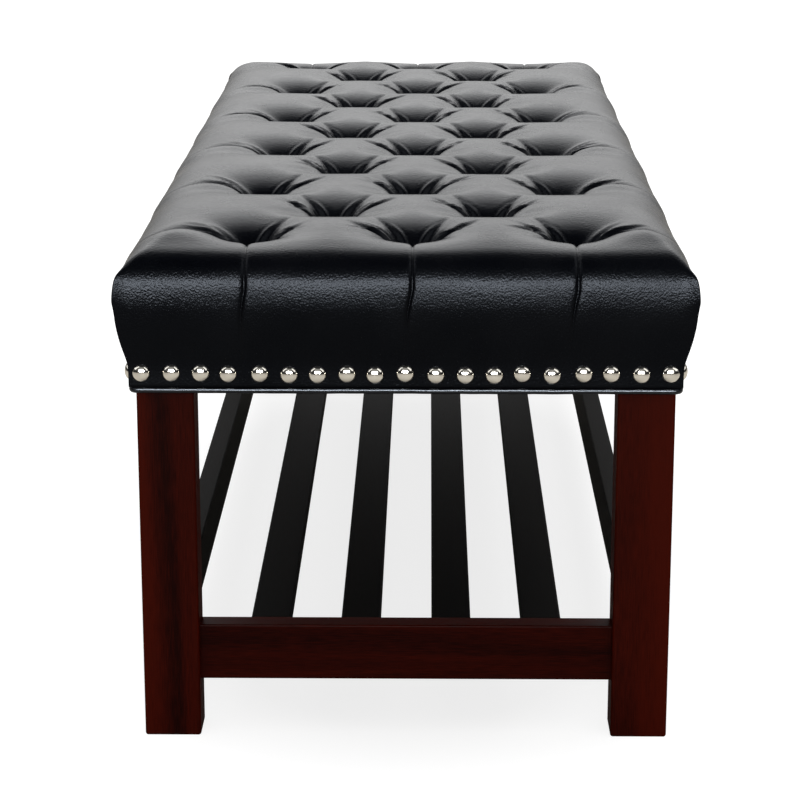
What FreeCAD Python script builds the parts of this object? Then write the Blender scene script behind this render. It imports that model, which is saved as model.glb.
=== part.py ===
import FreeCAD, Part
import math
import os

from FreeCAD import Vector

# A long upholstered bench: a diamond-tufted leather seat with a nailed lower edge,
# on four square legs with a slatted shelf between them.
# Millimetres. +Z is up, Y runs along the bench, the origin is on the floor under its middle.
# "front" is the end at -Y, "back" the end at +Y, "left" is -X and "right" is +X.

os.makedirs("parts", exist_ok=True)

# Driving dimensions
bench_length = 1270.0
bench_width = 498.0
bench_height = 457.0
seat_underside = 324.0

# Cover and the band of leather that is nailed to the seat frame
cover_thickness = 2.5
side_bulge = 10.5
band_top = 345.5
band_corner_radius = 5.0
welt_radius = 2.9

# Seat frame
frame_width = bench_width - 2 * (side_bulge + cover_thickness)
frame_length = bench_length - 2 * (side_bulge + cover_thickness)
frame_rail_thickness = 22.0
frame_rail_height = 41.0
deck_thickness = 12.0
corner_block_size = 60.0
frame_top = seat_underside + frame_rail_height
deck_top = frame_top + deck_thickness

# Base
leg_setback = 3.0
leg_width = 50.0
leg_depth = 40.0
leg_edge_radius = 2.5
base_half_width = frame_width / 2 - leg_setback
base_half_length = frame_length / 2 - leg_setback
rail_bottom = 51.0
rail_height = 51.0
rail_top = rail_bottom + rail_height
side_rail_thickness = 20.0
side_rail_setback = 10.0
stretcher_thickness = 22.0
stretcher_setback = 9.0
eased_edge = 1.5
slat_count = 4
slat_width = 35.0
slat_thickness = 15.0
slat_pitch = 80.7

# Tufting: rows of three buttons, with a row of two in each gap, on a diamond grid
wide_row_count = 6
row_pitch = 221.0
button_pitch = 141.5
button_radius = 10.5
button_height = 6.0
pit_depth = 46.0
channel_half_width = 26.0
channel_depth = 9.0
pleat_half_width = 18.0
pleat_depth = 7.0
pleat_slot_width = 2.4
pleat_slot_depth = 3.0
twine_radius = 1.0
twine_washer_radius = 10.0
twine_washer_thickness = 2.0

# Nails
nail_head_radius = 7.8
nail_head_height = 4.6
nail_shank_radius = 1.0
nail_shank_length = 18.0
nail_height = 336.0
end_nail_count = 19
side_nail_count = 49
nail_corner_distance = 11.0

UP = Vector(0, 0, 1)
SIDES = {"left": -1, "right": 1}
ENDS = {"front": -1, "back": 1}


def save(shape, node):
    """Write one node's solids to its STEP file and report its size."""
    solids = shape.Solids
    assert solids and all(s.isValid() for s in solids), node
    box = shape.BoundBox
    print(f"{node}: {len(solids)} solids, {box.XLength:.1f} x {box.YLength:.1f} x {box.ZLength:.1f}")
    shape.exportStep(f"parts/{node}.step")


def block(low, high):
    """A box between two corners."""
    size = Vector(*high) - Vector(*low)
    return Part.makeBox(size.x, size.y, size.z, Vector(*low))


def eased(solid, radius, direction=None):
    """Round the edges of a block, or only those along one direction."""
    edges = [e for e in solid.Edges if direction is None or abs(e.tangentAt(0).dot(direction)) > 0.99]
    return solid.makeFillet(radius, edges)


def rod(centre, direction, length, radius):
    return Part.makeCylinder(radius, length, Vector(*centre), direction)


def group(solids):
    return Part.makeCompound(list(solids))


def rounded_rectangle(half_x, half_y, radius, z):
    """A closed wire of four lines and four quarter arcs at one height."""
    edges = []
    diagonal = radius * (1 - math.sqrt(0.5))
    corners = [(1, 1), (-1, 1), (-1, -1), (1, -1)]
    for number, (sx, sy) in enumerate(corners):
        along_x = Vector(sx * (half_x - radius), sy * half_y, z)
        along_y = Vector(sx * half_x, sy * (half_y - radius), z)
        middle = Vector(sx * (half_x - diagonal), sy * (half_y - diagonal), z)
        start, stop = (along_y, along_x) if number % 2 == 0 else (along_x, along_y)
        edges.append(Part.Arc(start, middle, stop).toShape())
        next_sx, next_sy = corners[(number + 1) % 4]
        if number % 2 == 0:
            following = Vector(next_sx * (half_x - radius), next_sy * half_y, z)
        else:
            following = Vector(next_sx * half_x, next_sy * (half_y - radius), z)
        edges.append(Part.LineSegment(stop, following).toShape())
    return Part.Wire(edges)


def rounded_prism(half_x, half_y, radius, low, high):
    return Part.Face(rounded_rectangle(half_x, half_y, radius, low)).extrude(UP * (high - low))


# Cushion form

# Height on the side of the cushion, and how far in from the widest line it is there.
side_profile = [
    (band_top, side_bulge),
    (372.0, 2.8),
    (402.0, 0.0),
    (430.0, 4.6),
    (446.0, 18.0),
    (455.0, 42.0),
    (bench_height, 60.0),
]
# Depth under the crest and radius of a tuft's pit, from its lip to its floor.
pit_profile = [(-2.0, 50.0), (6.0, 32.0), (20.0, 18.0), (pit_depth, 12.0)]


def button_rows():
    """Y of each row, with the X of its buttons: rows of three and two by turns."""
    first = -row_pitch * (wide_row_count - 1) / 2
    rows = []
    for number in range(2 * wide_row_count - 1):
        wide = number % 2 == 0
        places = (-1, 0, 1) if wide else (-0.5, 0.5)
        rows.append((first + number * row_pitch / 2, [p * button_pitch for p in places]))
    return rows


button_places = [(x, y) for y, xs in button_rows() for x in xs]


def swollen_body(offset):
    """The untufted cushion over its straight nailed band, shrunk all round by an offset."""
    half_x = bench_width / 2 - offset
    half_y = bench_length / 2 - offset
    top_drop = offset / (bench_height - band_top)
    wires = []
    for height, inset in side_profile:
        radius = max(band_corner_radius - offset, 2.0) + 0.7 * inset * (height > 410.0)
        lowered = height - (height - band_top) * top_drop
        wires.append(rounded_rectangle(half_x - inset, half_y - inset, radius, lowered))
    swell = Part.makeLoft(wires, True, False)
    band_x, band_y = half_x - side_bulge, half_y - side_bulge
    band_radius = max(band_corner_radius - offset, 2.0)
    band = rounded_prism(band_x, band_y, band_radius, seat_underside, band_top)
    return band.fuse(swell)


def quarter_arc_circle(centre, radius, z):
    """A circle as four quarter arcs."""
    edges = []
    for quarter in range(4):
        angles = [math.radians(90 * quarter + step) for step in (0, 45, 90)]
        points = [Vector(centre[0] + radius * math.cos(a), centre[1] + radius * math.sin(a), z) for a in angles]
        edges.append(Part.Arc(*points).toShape())
    return Part.Wire(edges)


def pit(place, offset):
    """The funnel that a button pulls into the cushion, wider and deeper by the offset."""
    wires = []
    for depth, radius in pit_profile:
        wires.append(quarter_arc_circle(place, radius + offset, bench_height - offset - depth))
    return Part.makeLoft(wires, True, False)


def channel(start, stop, half_width, depth, offset):
    """A shallow round-bottomed valley in the top, between two places."""
    along = Vector(stop[0] - start[0], stop[1] - start[1], 0)
    across = UP.cross(along).normalize()
    crest = Vector(start[0], start[1], bench_height - offset)
    left = crest - across * (half_width + offset)
    right = crest + across * (half_width + offset)
    floor = crest - UP * depth
    clear = UP * 5.0
    edges = [
        Part.Arc(left, floor, right).toShape(),
        Part.LineSegment(right, right + clear).toShape(),
        Part.LineSegment(right + clear, left + clear).toShape(),
        Part.LineSegment(left + clear, left).toShape(),
    ]
    return Part.Face(Part.Wire(edges)).extrude(along)


def channels(offset):
    """Valleys between diagonal neighbours, and pleats from the outer buttons to the edges."""
    made = []
    rows = button_rows()
    for (y, xs), (next_y, next_xs) in zip(rows, rows[1:]):
        for x in xs:
            for next_x in next_xs:
                if abs(next_x - x) < button_pitch:
                    made.append(channel((x, y), (next_x, next_y), channel_half_width, channel_depth, offset))
    for y, xs in rows[::2]:
        for sign in SIDES.values():
            edge = (sign * bench_width / 2, y)
            made.append(channel((sign * button_pitch, y), edge, pleat_half_width, pleat_depth, offset))
    for sign in ENDS.values():
        for x in rows[0][1]:
            start, edge = (x, sign * rows[-1][0]), (x, sign * bench_length / 2)
            made.append(channel(start, edge, pleat_half_width, pleat_depth, offset))
    return made


def pleat_slots(offset):
    """Narrow slots where the pleats run over the edge and down the sides and ends."""
    half = pleat_slot_width / 2 + offset
    low, clear = band_top + 3.0, 5.0

    def outline(widest):
        """From the slot's floor, a steady depth inside the side profile, to well outside it."""
        floor = [(widest - inset - pleat_slot_depth, height) for height, inset in side_profile[1:]]
        top = (floor[-1][0] - clear, bench_height + clear)
        outside = [(widest + clear, bench_height + clear), (widest + clear, low)]
        return [(floor[0][0], low)] + floor + [top] + outside

    def slot(points, step):
        return Part.Face(Part.makePolygon(points + points[:1])).extrude(step)

    made = []
    beside, beyond = outline(bench_width / 2 - offset), outline(bench_length / 2 - offset)
    for y, _ in button_rows()[::2]:
        for sign in SIDES.values():
            made.append(slot([Vector(sign * x, y - half, z) for x, z in beside], Vector(0, 2 * half, 0)))
    for x in button_rows()[0][1]:
        for sign in ENDS.values():
            made.append(slot([Vector(x - half, sign * y, z) for y, z in beyond], Vector(2 * half, 0, 0)))
    return made


def cushion_form(offset):
    pits = [pit(place, offset) for place in button_places]
    return swollen_body(offset).cut(pits + channels(offset) + pleat_slots(offset))


# Fastenings

def countersunk_screw(tip, direction, length, radius):
    """A screw from its flat head down to its tip, as one solid."""
    head_height = 1.2 * radius
    top = Vector(*tip) - direction * length
    head = Part.makeCone(2.0 * radius, radius, head_height, top, direction)
    return head.fuse(Part.makeCylinder(radius, length, top, direction)).removeSplitter()


def nail_shank(place, outward):
    return Part.makeCylinder(nail_shank_radius, nail_shank_length, Vector(*place), -outward)


def nail(place, outward):
    """A domed head on the leather, with its shank in the rail behind."""
    seat = Vector(*place)
    sphere_radius = (nail_head_radius ** 2 + nail_head_height ** 2) / (2 * nail_head_height)
    ball = Part.makeSphere(sphere_radius, seat + outward * (nail_head_height - sphere_radius))
    cap = ball.common(Part.makeCylinder(nail_head_radius + 1, nail_head_height + 1, seat, outward))
    return cap.fuse(nail_shank(place, outward))


def nail_rows():
    """Place and outward direction of every nail, by the face of the seat that it is on."""
    band_x = frame_width / 2 + cover_thickness
    band_y = frame_length / 2 + cover_thickness
    rows = {}
    for name, sign in ENDS.items():
        reach = band_x - nail_corner_distance
        pitch = 2 * reach / (end_nail_count - 1)
        places = [(-reach + n * pitch, sign * band_y, nail_height) for n in range(end_nail_count)]
        rows[name] = [(p, Vector(0, sign, 0)) for p in places]
    for name, sign in SIDES.items():
        reach = band_y - nail_corner_distance - nail_head_radius / 2
        pitch = 2 * reach / (side_nail_count - 1)
        places = [(sign * band_x, -reach + n * pitch, nail_height) for n in range(side_nail_count)]
        rows[name] = [(p, Vector(sign, 0, 0)) for p in places]
    return rows


# Base: legs, shelf frame and slats

dowel_radius = 4.0
dowel_length = 46.0
dowel_spread = 12.5
rail_dowel_in_leg = 23.0
stretcher_dowel_in_leg = 21.0
slat_dowel_radius = 3.0
slat_dowel_in_stretcher = 17.0
slat_dowel_length = 38.0
slat_dowel_spread = 9.0

leg_inner_x = base_half_width - leg_width
leg_inner_y = base_half_length - leg_depth
rail_middle = rail_bottom + rail_height / 2
side_rail_x = base_half_width - side_rail_setback - side_rail_thickness / 2
stretcher_y = base_half_length - stretcher_setback - stretcher_thickness / 2
slat_end = stretcher_y - stretcher_thickness / 2
slat_places = [(n - (slat_count - 1) / 2) * slat_pitch for n in range(slat_count)]
dowel_heights = (rail_middle - dowel_spread, rail_middle + dowel_spread)


def side_rail_dowels():
    made = []
    for sx in SIDES.values():
        for sy in ENDS.values():
            start = sy * (leg_inner_y + rail_dowel_in_leg)
            for z in dowel_heights:
                made.append(rod((sx * side_rail_x, start, z), Vector(0, -sy, 0), dowel_length, dowel_radius))
    return made


def stretcher_dowels():
    made = []
    for sy in ENDS.values():
        for sx in SIDES.values():
            start = sx * (leg_inner_x + stretcher_dowel_in_leg)
            for z in dowel_heights:
                made.append(rod((start, sy * stretcher_y, z), Vector(-sx, 0, 0), dowel_length, dowel_radius))
    return made


def slat_dowels():
    made = []
    z = rail_top - slat_thickness / 2
    for sy in ENDS.values():
        for middle in slat_places:
            for side in SIDES.values():
                start = (middle + side * slat_dowel_spread, sy * (slat_end + slat_dowel_in_stretcher), z)
                made.append(rod(start, Vector(0, -sy, 0), slat_dowel_length, slat_dowel_radius))
    return made


# Leg fastenings: a lag bolt down through each corner block, and a dowel beside it
bolt_radius = 4.0
bolt_head_flats = 13.0
bolt_head_height = 5.3
bolt_washer_radius = 8.0
bolt_washer_thickness = 1.6
bolt_recess_radius = 9.0
bolt_recess_depth = 9.0
bolt_depth_in_leg = 34.0
leg_dowel_radius = 4.0
leg_dowel_half_length = 20.0
frame_inner_x = frame_width / 2 - frame_rail_thickness
frame_inner_y = frame_length / 2 - frame_rail_thickness
bolt_x = (frame_inner_x + leg_inner_x) / 2
bolt_y = (frame_inner_y + leg_inner_y) / 2
washer_seat = frame_top - bolt_recess_depth
leg_corners = [(sx, sy) for sx in SIDES.values() for sy in ENDS.values()]


def leg_bolt(sx, sy):
    head_low = washer_seat + bolt_washer_thickness
    corner_radius = bolt_head_flats / math.sqrt(3)
    corners = []
    for n in range(7):
        angle = math.radians(60 * n)
        x = sx * bolt_x + corner_radius * math.cos(angle)
        corners.append(Vector(x, sy * bolt_y + corner_radius * math.sin(angle), head_low))
    head = Part.Face(Part.makePolygon(corners)).extrude(UP * bolt_head_height)
    length = head_low - (seat_underside - bolt_depth_in_leg)
    return head.fuse(rod((sx * bolt_x, sy * bolt_y, head_low), -UP, length, bolt_radius))


def leg_bolt_washer(sx, sy):
    place = (sx * bolt_x, sy * bolt_y, washer_seat)
    disc = rod(place, UP, bolt_washer_thickness, bolt_washer_radius)
    return disc.cut(rod(place, UP, bolt_washer_thickness, bolt_radius))


def leg_dowel(sx, sy):
    x = sx * (frame_width / 2 - frame_rail_thickness / 2)
    y = sy * (leg_inner_y + leg_depth / 3)
    low = seat_underside - leg_dowel_half_length
    return rod((x, y, low), UP, 2 * leg_dowel_half_length, leg_dowel_radius)


leg_bolts = [leg_bolt(*corner) for corner in leg_corners]
leg_dowels = [leg_dowel(*corner) for corner in leg_corners]
rail_pins = side_rail_dowels()
stretcher_pins = stretcher_dowels()
slat_pins = slat_dowels()

for end, sy in ENDS.items():
    for side, sx in SIDES.items():
        xs = sorted((sx * leg_inner_x, sx * base_half_width))
        ys = sorted((sy * leg_inner_y, sy * base_half_length))
        leg = block((xs[0], ys[0], 0), (xs[1], ys[1], seat_underside))
        edges = [e for e in leg.Edges if e.CenterOfMass.z < seat_underside - 1]
        leg = leg.makeFillet(leg_edge_radius, edges)
        leg = leg.cut(leg_bolts + leg_dowels + rail_pins + stretcher_pins)
        save(leg, f"leg_{end}_{side}")

for end, sy in ENDS.items():
    ys = sorted((sy * slat_end, sy * (slat_end + stretcher_thickness)))
    stretcher = block((-leg_inner_x, ys[0], rail_bottom), (leg_inner_x, ys[1], rail_top))
    stretcher = eased(stretcher, eased_edge, Vector(1, 0, 0))
    save(stretcher.cut(stretcher_pins + slat_pins), f"shelf_stretcher_{end}")

for side, sx in SIDES.items():
    xs = sorted((sx * (side_rail_x - side_rail_thickness / 2), sx * (side_rail_x + side_rail_thickness / 2)))
    rail = block((xs[0], -leg_inner_y, rail_bottom), (xs[1], leg_inner_y, rail_top))
    rail = eased(rail, eased_edge, Vector(0, 1, 0))
    save(rail.cut(rail_pins), f"shelf_side_rail_{side}")

for number, middle in enumerate(slat_places, 1):
    low = (middle - slat_width / 2, -slat_end, rail_top - slat_thickness)
    slat = block(low, (middle + slat_width / 2, slat_end, rail_top))
    slat = eased(slat, eased_edge, Vector(0, 1, 0))
    save(slat.cut(slat_pins), f"shelf_slat_{number}")

save(group(rail_pins), "side_rail_dowels")
save(group(stretcher_pins), "stretcher_dowels")
save(group(slat_pins), "slat_dowels")
save(group(leg_bolts), "leg_bolts")
save(group(leg_bolt_washer(*corner) for corner in leg_corners), "leg_bolt_washers")
save(group(leg_dowels), "leg_dowels")

# Seat frame, glued and screwed, under a plywood deck

screw_radius = 2.2
frame_screw_length = 60.0
frame_screw_heights = (seat_underside + 22.0, seat_underside + 33.0)
deck_screw_length = 30.0
cross_rail_places = [n * row_pitch + row_pitch / 4 for n in (-1.0, 0.5)]
cross_rail_places = sorted([-y for y in cross_rail_places] + cross_rail_places)
deck_hole_radius = 3.0
side_deck_screws = (60.0, 276.0, 495.0)
end_rail_y = frame_length / 2 - frame_rail_thickness / 2
long_rail_x = frame_width / 2 - frame_rail_thickness / 2


def frame_screws():
    made = []
    for y in [-end_rail_y, end_rail_y] + cross_rail_places:
        for sx in SIDES.values():
            for z in frame_screw_heights:
                tip = (sx * (frame_width / 2 - frame_screw_length), y, z)
                made.append(countersunk_screw(tip, Vector(-sx, 0, 0), frame_screw_length, screw_radius))
    return made


def deck_screws():
    places = [(sx * long_rail_x, sy * y) for sx in SIDES.values() for sy in ENDS.values() for y in side_deck_screws]
    for y in [-end_rail_y, end_rail_y] + cross_rail_places:
        places += [(sx * button_pitch * 0.75, y) for sx in SIDES.values()]
    tip_height = deck_top - deck_screw_length
    return [countersunk_screw((x, y, tip_height), -UP, deck_screw_length, screw_radius) for x, y in places]


# Dust cover staples: a crown under the cloth and two points up into the frame
staple_width = 10.0
staple_wire = 1.0
staple_point_length = 6.0
dust_cover_thickness = 0.8
dust_cover_gap = 2.0
side_staples = [n * 140.0 for n in range(-3, 4)]
end_staples = [n * 110.0 for n in (-1, 0, 1)]


def staple(x, y, along_x):
    """One staple, with its crown along X or along Y."""
    low = seat_underside - dust_cover_thickness - staple_wire
    half, wire = staple_width / 2, staple_wire / 2
    shape = None
    for reach in (-1, 0, 1):
        if reach:
            centre = reach * (half - wire)
            half_long, top = wire, seat_underside + staple_point_length
        else:
            centre, half_long, top = 0.0, half, low + staple_wire
        dx, dy = (half_long, wire) if along_x else (wire, half_long)
        cx, cy = (x + centre, y) if along_x else (x, y + centre)
        piece = block((cx - dx, cy - dy, low), (cx + dx, cy + dy, top))
        shape = piece if shape is None else shape.fuse(piece)
    return shape.removeSplitter()


staples = [staple(sx * long_rail_x, y, False) for sx in SIDES.values() for y in side_staples]
staples += [staple(x, sy * end_rail_y, True) for sy in ENDS.values() for x in end_staples]
rail_screws = frame_screws()
top_screws = deck_screws()
nails = nail_rows()
nail_shanks = [nail_shank(*one) for row in nails.values() for one in row]
frame_outline = rounded_prism(
    frame_width / 2, frame_length / 2, band_corner_radius - cover_thickness, seat_underside, deck_top
)
frame_fastenings = rail_screws + top_screws + staples + nail_shanks + leg_dowels

for side, sx in SIDES.items():
    xs = sorted((sx * frame_inner_x, sx * frame_width / 2))
    rail = block((xs[0], -frame_length / 2, seat_underside), (xs[1], frame_length / 2, frame_top))
    save(rail.common(frame_outline).cut(frame_fastenings), f"seat_rail_{side}")

for end, sy in ENDS.items():
    ys = sorted((sy * frame_inner_y, sy * frame_length / 2))
    rail = block((-frame_inner_x, ys[0], seat_underside), (frame_inner_x, ys[1], frame_top))
    save(rail.cut(frame_fastenings), f"seat_rail_{end}")

for number, y in enumerate(cross_rail_places, 1):
    half = frame_rail_thickness / 2
    rail = block((-frame_inner_x, y - half, seat_underside), (frame_inner_x, y + half, frame_top))
    save(rail.cut(rail_screws + top_screws), f"seat_cross_rail_{number}")

for end, sy in ENDS.items():
    for side, sx in SIDES.items():
        xs = sorted((sx * frame_inner_x, sx * (frame_inner_x - corner_block_size)))
        ys = sorted((sy * frame_inner_y, sy * (frame_inner_y - corner_block_size)))
        corner = block((xs[0], ys[0], seat_underside), (xs[1], ys[1], frame_top))
        recess = rod((sx * bolt_x, sy * bolt_y, washer_seat), UP, bolt_recess_depth, bolt_recess_radius)
        save(corner.cut([recess] + leg_bolts + rail_screws), f"corner_block_{end}_{side}")

deck_holes = [rod((x, y, frame_top), UP, deck_thickness, deck_hole_radius) for x, y in button_places]
deck = frame_outline.common(block((-bench_width, -bench_length, frame_top), (bench_width, bench_length, deck_top)))
save(deck.cut(deck_holes + top_screws), "seat_deck")
save(group(rail_screws), "frame_screws")
save(group(top_screws), "deck_screws")

# Cushion: cover, foam, buttons and their twine

button_seat = bench_height - pit_depth
twine_low = frame_top - twine_washer_thickness
knot_radius = 3.0
knot_height = 3.0


def button(x, y):
    """A leather-covered button: a short drum with a low dome."""
    dome_height = button_height / 2
    sphere_radius = (button_radius ** 2 + dome_height ** 2) / (2 * dome_height)
    drum = rod((x, y, button_seat), UP, button_height, button_radius)
    ball_centre = Vector(x, y, button_seat + button_height - sphere_radius)
    return drum.common(Part.makeSphere(sphere_radius, ball_centre))


def twine(x, y):
    """Twine from the button down to its knot under the deck."""
    cord = rod((x, y, twine_low), UP, button_seat - twine_low, twine_radius)
    knot = rod((x, y, twine_low - knot_height), UP, knot_height, knot_radius)
    return cord.fuse(knot).removeSplitter()


def twine_washer(x, y):
    disc = rod((x, y, twine_low), UP, twine_washer_thickness, twine_washer_radius)
    return disc.cut(rod((x, y, twine_low), UP, twine_washer_thickness, twine_radius))


twines = [twine(x, y) for x, y in button_places]
outer_form = cushion_form(0.0)
inner_form = cushion_form(cover_thickness)
foam_skirt_bottom = band_top + 5.0
foam_space = block(
    (-bench_width, -bench_length, foam_skirt_bottom), (bench_width, bench_length, bench_height + 10)
)
cover = outer_form.cut(inner_form).cut(nail_shanks + twines)
foam = inner_form.common(foam_space).cut([frame_outline] + twines)
save(cover, "seat_cover")
save(foam, "seat_foam")
save(group(button(x, y) for x, y in button_places), "tuft_buttons")
save(group(twines), "tufting_twines")
save(group(twine_washer(x, y) for x, y in button_places), "twine_washers")

for face, row in nails.items():
    save(group(nail(*one) for one in row), f"nailheads_{face}")


# Trim: the welt under the band, and the dust cover with its staples

def welt():
    """A round cord along the lower edge, all the way round."""
    half_x, half_y = frame_width / 2, frame_length / 2
    bend = band_corner_radius
    z = seat_underside - welt_radius
    run_x, run_y = 2 * (half_x - bend), 2 * (half_y - bend)
    ring = Part.makeTorus(bend, welt_radius, Vector(0, 0, 0), UP, -180, 180, 90)
    pieces = []
    for sign in (-1, 1):
        pieces.append(rod((-run_x / 2, sign * half_y, z), Vector(1, 0, 0), run_x, welt_radius))
        pieces.append(rod((sign * half_x, -run_y / 2, z), Vector(0, 1, 0), run_y, welt_radius))
    for quarter, (sx, sy) in enumerate([(1, 1), (-1, 1), (-1, -1), (1, -1)]):
        corner = ring.copy()
        corner.rotate(Vector(0, 0, 0), UP, 90 * quarter)
        corner.translate(Vector(sx * run_x / 2, sy * run_y / 2, z))
        pieces.append(corner)
    return pieces[0].fuse(pieces[1:]).removeSplitter()


save(welt(), "bottom_welt")

cloth_x, cloth_y = base_half_width - dust_cover_gap, base_half_length - dust_cover_gap
cloth_low = seat_underside - dust_cover_thickness
dust_cover = block((-cloth_x, -cloth_y, cloth_low), (cloth_x, cloth_y, seat_underside))
leg_gap = 1.0
for sx, sy in leg_corners:
    xs = sorted((sx * (leg_inner_x - leg_gap), sx * bench_width))
    ys = sorted((sy * (leg_inner_y - leg_gap), sy * bench_length))
    dust_cover = dust_cover.cut(block((xs[0], ys[0], 0), (xs[1], ys[1], bench_height)))
save(dust_cover.cut(staples), "dust_cover")
save(group(staples), "dust_cover_staples")
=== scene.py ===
import math
import random

import bpy
import bmesh
import numpy as np
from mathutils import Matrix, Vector


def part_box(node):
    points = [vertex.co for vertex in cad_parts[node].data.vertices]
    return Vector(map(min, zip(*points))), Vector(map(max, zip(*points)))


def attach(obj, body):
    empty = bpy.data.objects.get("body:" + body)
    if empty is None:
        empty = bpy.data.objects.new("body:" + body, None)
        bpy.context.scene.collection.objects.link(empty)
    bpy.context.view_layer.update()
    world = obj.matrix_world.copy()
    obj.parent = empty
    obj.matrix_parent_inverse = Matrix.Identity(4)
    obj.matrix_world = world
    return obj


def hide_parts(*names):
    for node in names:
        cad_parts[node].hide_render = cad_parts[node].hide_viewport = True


# A diamond-tufted leather bench with a nailed lower edge, square legs and a slatted shelf.
# Metres; X across the bench, Y along it, Z up. The sizes in the dictionaries are millimetres.

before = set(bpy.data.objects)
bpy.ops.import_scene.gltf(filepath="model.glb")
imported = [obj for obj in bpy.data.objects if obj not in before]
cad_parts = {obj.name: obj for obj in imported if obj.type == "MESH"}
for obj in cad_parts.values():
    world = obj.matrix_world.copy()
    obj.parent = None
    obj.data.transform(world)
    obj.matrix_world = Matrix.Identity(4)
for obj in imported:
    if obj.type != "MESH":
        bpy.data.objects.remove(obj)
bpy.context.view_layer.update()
scene = bpy.context.scene
mm = 0.001


# Small helpers

def hexColour(code):
    # sRGB hex to the linear colour that a shader takes
    channels = [int(code[i:i + 2], 16) / 255 for i in (0, 2, 4)]
    return (*[c / 12.92 if c <= 0.04045 else ((c + 0.055) / 1.055) ** 2.4 for c in channels], 1.0)


def addNode(tree, kind, links=None, stops=(), **settings):
    # a kind without Node in it is a shader node; a link to a node is to its first output; stops are a colour ramp's,
    # as hex colours or grey levels
    made = tree.nodes.new(kind if "Node" in kind else "ShaderNode" + kind)
    for name, value in settings.items():
        setattr(made, name, value)
    for socket, value in (links or {}).items():
        if isinstance(value, bpy.types.Node):
            value = value.outputs[0]
        if isinstance(value, bpy.types.NodeSocket):
            tree.links.new(value, made.inputs[socket])
        else:
            made.inputs[socket].default_value = value
    for number, (position, colour) in enumerate(stops):
        if number < 2:
            stop = made.color_ramp.elements[number]
            stop.position = position
        else:
            stop = made.color_ramp.elements.new(position)
        stop.color = hexColour(colour) if isinstance(colour, str) else (colour, colour, colour, 1.0)
    return made


def startMaterial(name):
    material = bpy.data.materials.new(name)
    material.use_nodes = True
    tree = material.node_tree
    tree.nodes.clear()
    return material, tree, addNode(tree, "TexCoord").outputs["Object"]


def finishMaterial(material, inputs):
    tree = material.node_tree
    addNode(tree, "OutputMaterial", {"Surface": addNode(tree, "BsdfPrincipled", inputs)})
    return material


def addObject(name, data):
    made = bpy.data.objects.new(name, data)
    scene.collection.objects.link(made)
    return made


def dress(piece, material):
    piece.data.materials.clear()
    piece.data.materials.append(material)


def makeObject(name, points, faces):
    # an object from points in millimetres, its faces turned outwards; it is not in the scene yet
    mesh = bpy.data.meshes.new(name)
    mesh.from_pydata((np.array(points) * mm).tolist(), [], faces)
    bm = bmesh.new()
    bm.from_mesh(mesh)
    bmesh.ops.delete(bm, geom=[v for v in bm.verts if not v.link_faces], context="VERTS")
    bmesh.ops.recalc_face_normals(bm, faces=bm.faces)
    bm.to_mesh(mesh)
    bm.free()
    return bpy.data.objects.new(name, mesh)


def workIn(piece):
    # the piece's modifiers are worked into a plain mesh
    bpy.context.view_layer.update()
    plain = bpy.data.meshes.new_from_object(piece.evaluated_get(bpy.context.evaluated_depsgraph_get()))
    piece.modifiers.clear()
    piece.data = plain


def readOut(items, name, width=3, kind=float):
    # one property of every item, as the rows of an array
    values = np.zeros(len(items) * width, kind)
    items.foreach_get(name, values)
    return values.reshape(-1, width)


# Studio: camera, floor, white surround and lamps

studio = {
    "cameraPlace": (0.0191, -2.7104, 0.8752),
    "turnLeft": 0.0115,
    "lookDown": 0.2631,
    "focalPixels": 2509.6,
    "framePixels": 800,
    "floorHalf": 14.0,
    "floorColour": "d9d4cb", "floorThin": 0.3,
    "floorGlowPaintedShade": (0.79, 0.99),  # glow by the bench, turned down there as painted shade where its shadow lies, and away from it
    "paintedShadeReach": (0.25, 0.42), "paintedShadeShape": (1.0, 0.42, 0.0),  # metres over which the painted shade fades out, and how much X and Y count
}

cameraData = bpy.data.cameras.new("benchCamera")
camera = addObject("benchCamera", cameraData)
scene.camera = camera
cameraData.sensor_fit = "HORIZONTAL"
cameraData.sensor_width = 36.0
cameraData.lens = studio["focalPixels"] / studio["framePixels"] * cameraData.sensor_width
camera.location = studio["cameraPlace"]
camera.rotation_euler = (math.pi / 2 - studio["lookDown"], 0.0, studio["turnLeft"])
cameraData.clip_end = 60.0

scene.view_settings.view_transform = "Standard"

floorMesh = bpy.data.meshes.new("studioFloor")
half = studio["floorHalf"]
floorMesh.from_pydata([(-half, -half, 0), (half, -half, 0), (half, half, 0), (-half, half, 0)], [], [(0, 1, 2, 3)])
studioFloor = addObject("studioFloor", floorMesh)


def raysSeen(tree):
    # what the eye sees itself or through something clear
    ray = addNode(tree, "LightPath").outputs
    return ray, addNode(tree, "Math", {0: ray["Is Camera Ray"], 1: ray["Is Transmission Ray"]}, operation="MAXIMUM")


# Matt white paper floor: it glows to white for the eye, and still takes the bench's shadow; its glow is lower near the
# bench, a painted shade round it
floorPaper, tree, place = startMaterial("mattPaperFloor")
paper = addNode(tree, "BsdfPrincipled", {"Base Color": hexColour(studio["floorColour"]), "Roughness": 0.9,
                                         "Specular IOR Level": 0.1})
ray, seen = raysSeen(tree)
thin = addNode(tree, "BsdfDiffuse", {"Color": (*[studio["floorThin"]] * 3, 1.0)})
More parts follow.
